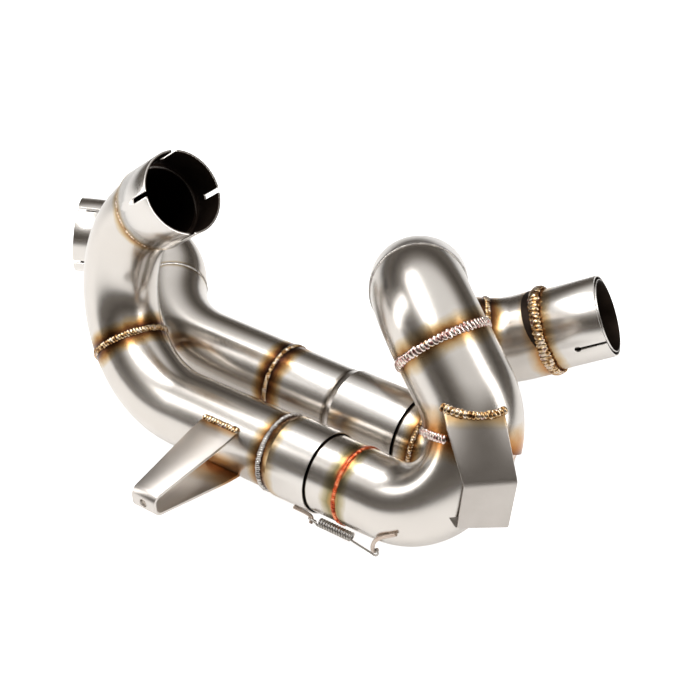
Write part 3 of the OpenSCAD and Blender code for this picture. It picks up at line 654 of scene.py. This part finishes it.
def stayRows(s):
    # the grid of outer points; the first row is drawn back onto the riser, as it is welded there
    rows = []
    for r, (left, right) in enumerate(s["rows"]):
        row = []
        for k in range(s["columns"] + 1):
            x, y, z = Vector(left).lerp(Vector(right), k / s["columns"])
            point = rightFoot + rightFace * x + Vector((0, 0, y)) + rightAcross * z
            if r == 0:
                met = crossing(lambda back: point - rightFace * back, -3, 14, riserDepth)
                point = (met if met is not None else point) + rightFace * s["proud"]
            row.append(point)
        rows.append(row)
    return rows


def foldedSheet(name, rows, thickness):
    # a closed sheet: the outer grid, an inner grid set back by the thickness, and the rim between them
    whole = bmesh.new()
    outer = [[whole.verts.new(p / 1000) for p in row] for row in rows]
    inner = []
    for r, row in enumerate(rows):
        before, after = rows[max(r - 1, 0)], rows[min(r + 1, len(rows) - 1)]
        line = []
        for k, p in enumerate(row):
            along = (after[k] - before[k]).normalized()
            across = (row[-1] - row[0]).normalized()
            normal = across.cross(along).normalized()
            line.append(whole.verts.new((p + normal * thickness) / 1000))
        inner.append(line)
    last = len(rows[0]) - 1
    for r in range(len(rows) - 1):
        for k in range(last):
            whole.faces.new((outer[r][k], outer[r][k + 1], outer[r + 1][k + 1], outer[r + 1][k]))
            whole.faces.new((inner[r + 1][k], inner[r + 1][k + 1], inner[r][k + 1], inner[r][k]))
        whole.faces.new((outer[r][0], outer[r + 1][0], inner[r + 1][0], inner[r][0]))
        whole.faces.new((inner[r][last], inner[r + 1][last], outer[r + 1][last], outer[r][last]))
    for k in range(last):
        whole.faces.new((inner[0][k], inner[0][k + 1], outer[0][k + 1], outer[0][k]))
        whole.faces.new((outer[-1][k], outer[-1][k + 1], inner[-1][k + 1], inner[-1][k]))
    bmesh.ops.recalc_face_normals(whole, faces=whole.faces)
    rim = [e for e in whole.edges if e.calc_face_angle() > math.radians(60)]
    bmesh.ops.bevel(whole, geom=rim, offset=0.00035, offset_type="OFFSET", segments=2, profile=0.5, affect="EDGES")
    mesh = bpy.data.meshes.new(name)
    whole.to_mesh(mesh)
    whole.free()
    for face in mesh.polygons:
        face.use_smooth = True
    mesh.set_sharp_from_angle(angle=math.radians(30))
    piece = bpy.data.objects.new(name, mesh)
    bpy.context.scene.collection.objects.link(piece)
    return piece


sheetRows = stayRows(stay)
smile = [p + rightFace * 0.4 for p in sheetRows[0]]
# the way that the upper plate faces, and how far below it the ripples' common centre lies
plateNormal, rippleDepth = rightFace * 0.798 + Vector((0, 0, 0.602)), 900
rightBead = rowOfRipples("ripples_right_bracket_weld", smile, rightFoot - plateNormal * rippleDepth, (2.3, 5.4, 1.6),
    "weld_gold", 7)
settle(rightBead, "weld_gold", "right_bracket_weld")
print("stage: crotch and bracket welds laid")


def lineTint(tree, position, colour, start, axis, reach, tint):
    # colours the sheet by its distance from a straight seam
    away = addNode(tree, "ShaderNodeVectorMath", {"operation": "SUBTRACT"}, {0: position, 1: tuple(start)}).outputs[0]
    across = addNode(tree, "ShaderNodeVectorMath", {"operation": "CROSS_PRODUCT"}, {0: away,
        1: tuple(axis)}).outputs[0]
    distance = addNode(tree, "ShaderNodeVectorMath", {"operation": "LENGTH"}, {0: across}).outputs["Value"]
    ragged = maths(tree, "ADD", distance, maths(tree, "MULTIPLY", noise(tree, position, 10, 4), reach * 0.5))
    return mixColour(tree, 1.0, colour, ramp(tree, maths(tree, "DIVIDE", ragged, reach * 1.3, True), tints[tint]),
        "MULTIPLY")


def sheetMaterial(name, look, stainsAndShade):
    # folded stainless sheet, duller than the tubes, with heat stains along its welds and, on the right stay, painted
    # shade at the flap's end
    material = steelMaterial(name, look)
    tree = material.node_tree
    shader = next(n for n in tree.nodes if n.bl_idname == "ShaderNodeBsdfPrincipled")
    colour = shader.inputs["Base Color"].links[0].from_socket
    position = millimetres(tree)
    for start, axis, reach, tint in stainsAndShade:
        colour = lineTint(tree, position, colour, start, axis, reach, tint)
    tree.links.new(colour, shader.inputs["Base Color"])
    return material


def softened(node, width, angle=35):
    # a merged copy of a CAD node whose sharp edges are rounded over
    piece = copied(node)
    whole = bmesh.new()
    whole.from_mesh(piece.data)
    sharp = [e for e in whole.edges if len(e.link_faces) == 2 and e.calc_face_angle() > math.radians(angle)]
    bmesh.ops.bevel(whole, geom=sharp, offset=width / 1000, offset_type="OFFSET", segments=2, profile=0.5,
                    affect="EDGES", clamp_overlap=True)
    whole.to_mesh(piece.data)
    whole.free()
    for face in piece.data.polygons:
        face.use_smooth = True
    piece.data.set_sharp_from_angle(angle=math.radians(32))
    return piece


leftRootLow = leftAxis + leftOut * 24 - leftUp * 10
bracketFinish = {
    "left_bracket": (dict(sheet, light="#D2CCC6", shade="#C4BDB6"), [(leftSeam, frontRun, 7, "orange"), (leftRootLow,
        frontRun, 20, "orange")]),
    # the right stay: a darker sheet tone and a dark stain at its flap's end, both painted shade for its place under
    # the elbow
    "right_bracket": (dict(sheet, light="#C4BEB8", shade="#A9A29B"),
                      [(sheetRows[0][12], rightAcross, 8, "brown"), (sheetRows[-1][12], rightAcross, 8, "dark")]),
}
for node, (look, stainsAndShade) in bracketFinish.items():
    piece = softened(node, 0.3) if node == "left_bracket" else foldedSheet("soft_right_bracket", sheetRows,
        stay["sheet"])
    piece.data.materials.clear()
    piece.data.materials.append(sheetMaterial("foldedStainless_" + node, look, stainsAndShade))
    settle(piece, node + "_steel", node)
print("stage: brackets finished")

# Springs and hooks: wire swept along a path, all sizes in millimetres
wires = {"springOff": header / 2 + 1.1 + 3.2 + 0.4, "coilRadius": 2.5, "spring": 0.7, "hook": 1.3,
         "onSleeve": tube["sleeve"] / 2 + 1.3, "onPipe": header / 2 + 1.3, "frontTurns": 13, "rearTurns": 11}
springSteel = steelMaterial("springSteelWire", dict(satin, light="#B5B0AA", shade="#9C968F", rough=0.24))
hookSteel = steelMaterial("stainlessHookWire", dict(satin, light="#C9C0B6", shade="#A98F7C", blotch=6, rough=0.24))
swept = wireTree()


def way(side, degrees):
    a = math.radians(degrees)
    return Vector((0, side * math.cos(a), -math.sin(a)))


frontWay, rearWay = way(-1, 46.3), way(1, 12)
rearRun = heading(rearLine, 2)


def besideFront(x, r):
    return frontAt(x) + frontWay * r


def besideRear(x, r):
    return Vector((x, -5.9, 27)) + rearWay * r


def besideRearBend(degrees, r):
    a = math.radians(degrees)
    ahead = headingInBend(rearLine, 3, a)
    return alongBend(rearLine, rearRadius, 3, a) + (rearWay - ahead * rearWay.dot(ahead)).normalized() * r


def loop(centre, r, u, v, start, end, count):
    turns = [math.radians(start + (end - start) * k / count) for k in range(count + 1)]
    return [Vector(centre) + u * (r * math.cos(a)) + v * (r * math.sin(a)) for a in turns]


def coil(start, end, turns, r):
    axis = (end - start).normalized()
    side = axis.cross(Vector((0, 0, 1))).normalized()
    up = axis.cross(side)
    count = turns * 20
    return [start + (end - start) * (k / count) + side * (r * math.cos(2 * math.pi * k / 20)) + up * (r * math.sin(2 * math.pi * k / 20))
            for k in range(count + 1)]


off, r = wires["springOff"], wires["coilRadius"]
onSleeve, onPipe = wires["onSleeve"], wires["onPipe"]
wirePaths = {
    "front_spring": loop(besideFront(107.2, off + 0.6), 2.6, frontRun, frontRun.cross(frontWay), 60, 300, 12)
    + coil(besideFront(112, off), besideFront(138, off), wires["frontTurns"], r)
    + loop((153.6, -97.2, 8.8), 2.8, Vector((1, 0, 0)), Vector((0, 0, 1)), -130, 75, 10),
    "rear_spring": loop(besideRear(118, off + 0.6), 2.6, rearRun, rearRun.cross(rearWay), 60, 300, 12)
    + coil(besideRear(122.6, off), besideRear(144.6, off), wires["rearTurns"], r)
    + loop(besideRear(152, off), 2.8, rearRun, rearRun.cross(rearWay), 200, 420, 10),
    "front_sleeve_hook": [besideFront(x, onSleeve + lift) for x, lift in
                          ((91, 0), (97, 0), (102.5, 0.1), (105.4, 0.8), (106.8, 2.4), (106.8, 5))],
    "rear_sleeve_hook": [besideRear(x, onSleeve + lift) for x, lift in
                         ((102, 0), (108, 0), (113.4, 0.1), (116.2, 0.8), (117.6, 2.4), (117.6, 5))],
    "front_elbow_hook": [(172.6, -102.8, 36), (168.5, -103.4, 33.2), (163.9, -103.8, 30.3), (159.5, -104, 26.2),
                         (156.6, -102.8, 21), (154.8, -101, 15), (154, -99.2, 10.8), (154, -97, 8.9), (154, -94.4,
                             8.6)],
    "rear_elbow_hook": [besideRearBend(56, onPipe), besideRearBend(48, onPipe), besideRearBend(40, onPipe + 0.3),
                        besideRearBend(33, onPipe + 1.6), besideRear(153.6, onPipe + 1), besideRear(152.7,
                            onPipe + 3.4),
                        besideRear(152.7, onPipe + 6.4)],
}
for node, points in wirePaths.items():
    spring = node.endswith("spring")
    piece = runTree(pathObject("wire_" + node, points, False, True), swept, {
        "Wire radius": wires["spring" if spring else "hook"] / 1000, "Sides": 12,
        "Finish": springSteel if spring else hookSteel})
    settle(piece, "spring_steel" if spring else "hook_steel", node)
print("stage: springs and hooks wound")

# Sockets: the same solids with their cut edges rounded over
for node in ("front_inlet_socket", "rear_inlet_socket", "outlet_socket", "outlet_inner_tube"):
    piece = softened(node, 0.25, 50)
    settle(piece, "socket_steel", node)
print("stage: sockets softened")

# Camera where the photograph was taken, and its plain studio
camera = {"place": (542.7, -671.6, 611.8), "right": (0.8083, 0.5886, 0.015),
          "look": (-0.485, 0.6799, -0.55), "lens": 77.14}


def makeCamera(c):
    look = Vector(c["look"]).normalized()
    right = Vector(c["right"])
    right = (right - look * right.dot(look)).normalized()
    up = right.cross(look)
    turn = Matrix((right, up, -look)).transposed()
    lens = bpy.data.cameras.new("photoCamera")
    lens.lens = c["lens"]
    lens.sensor_width = 36
    lens.clip_end = 20
    holder = bpy.data.objects.new("photoCamera", lens)
    holder.matrix_world = Matrix.Translation(Vector(c["place"]) / 1000) @ turn.to_4x4()
    bpy.context.scene.collection.objects.link(holder)
    bpy.context.scene.camera = holder


studio = {"ambient": 0.4, "dark": "#352F2A", "mid": "#7C766F", "floor": "#F4F4F4", "floorGlow": 0.45,
    "floorSeen": 0.4}
softboxes = [  # name, place in metres, what it looks at, width, height, watts
    ("overhead", (-0.25, -0.25, 1.1), (0, 0, 0.05), 1.1, 0.4, 8),
    ("left", (-1.0, -0.7, 0.55), (0, 0, 0.05), 0.3, 1.0, 4),
    ("right", (1.0, 0.3, 0.7), (0, 0, 0.05), 0.3, 1.0, 4),
]


def makeWorld(s):
    # white behind the object; metal mirrors that white with the darker room between its panels
    world = bpy.data.worlds.new("studio")
    bpy.context.scene.world = world
    world.use_nodes = True
    tree = world.node_tree
    tree.nodes.clear()
    direction = addNode(tree, "ShaderNodeTexCoord").outputs["Generated"]
    split = addNode(tree, "ShaderNodeSeparateXYZ", None, {0: direction}).outputs
    slope = maths(tree, "ADD", maths(tree, "MULTIPLY", split["Z"], 0.5), 0.5)
    room = ramp(tree, slope, [(0.0, "#FFFFFF"), (0.42, "#FFFFFF"), (0.5, s["dark"]), (0.6, s["mid"]), (0.68,
        s["dark"]),
                              (0.8, s["mid"]), (0.9, "#FFFFFF")])
    white = (1, 1, 1, 1)
    path = addNode(tree, "ShaderNodeLightPath").outputs
    mirrored = maths(tree, "MAXIMUM", path["Is Glossy Ray"], path["Is Transmission Ray"])
    tone = mixColour(tree, mirrored, hexToLinear("#D8D6D3"), room)
    tone = mixColour(tree, path["Is Camera Ray"], tone, white)
    seen = maths(tree, "MAXIMUM", path["Is Camera Ray"], mirrored)
    strength = maths(tree, "MAXIMUM", seen, s["ambient"])
    shown = addNode(tree, "ShaderNodeBackground", None, {"Color": tone, "Strength": strength})
    addNode(tree, "ShaderNodeOutputWorld", None, {"Surface": shown.outputs[0]})


def makeSoftbox(name, place, target, width, height, power):
    light = bpy.data.lights.new(name, "AREA")
    light.shape = "RECTANGLE"
    light.size, light.size_y = width, height
    light.energy = power
    holder = bpy.data.objects.new(name, light)
    holder.location = place
    holder.rotation_euler = (Vector(target) - Vector(place)).to_track_quat("-Z", "Y").to_euler()
    bpy.context.scene.collection.objects.link(holder)


def makeFloor(s):
    mesh = bpy.data.meshes.new("floor")
    shape = bmesh.new()
    bmesh.ops.create_grid(shape, x_segments=8, y_segments=8, size=4.0)
    shape.to_mesh(mesh)
    shape.free()
    floor = bpy.data.objects.new("floor", mesh)
    bpy.context.scene.collection.objects.link(floor)
    material = bpy.data.materials.new("paperFloor")
    material.use_nodes = True
    tree = material.node_tree
    tree.nodes.clear()
    paper = addNode(tree, "ShaderNodeBsdfDiffuse", None, {"Color": hexToLinear(s["floor"])})
    path = addNode(tree, "ShaderNodeLightPath")
    strength = maths(tree, "MULTIPLY_ADD", path.outputs["Is Camera Ray"], s["floorSeen"])
    strength.node.inputs[2].default_value = s["floorGlow"]
    glow = addNode(tree, "ShaderNodeEmission", None, {"Color": (1, 1, 1, 1), "Strength": strength})
    viewed = maths(tree, "MAXIMUM", path.outputs["Is Camera Ray"],
                   maths(tree, "MAXIMUM", path.outputs["Is Glossy Ray"], path.outputs["Is Transmission Ray"]))
    seen = addNode(tree, "ShaderNodeMixShader", None, {0: viewed, 2: glow.outputs[0]})
    both = addNode(tree, "ShaderNodeAddShader", None, {0: paper.outputs[0], 1: seen.outputs[0]})
    addNode(tree, "ShaderNodeOutputMaterial", None, {"Surface": both.outputs[0]})
    mesh.materials.append(material)


makeCamera(camera)
makeWorld(studio)
for box in softboxes:
    makeSoftbox(*box)
makeFloor(studio)
scene = bpy.context.scene
scene.view_settings.view_transform = "Standard"
print("stage: studio and camera set")
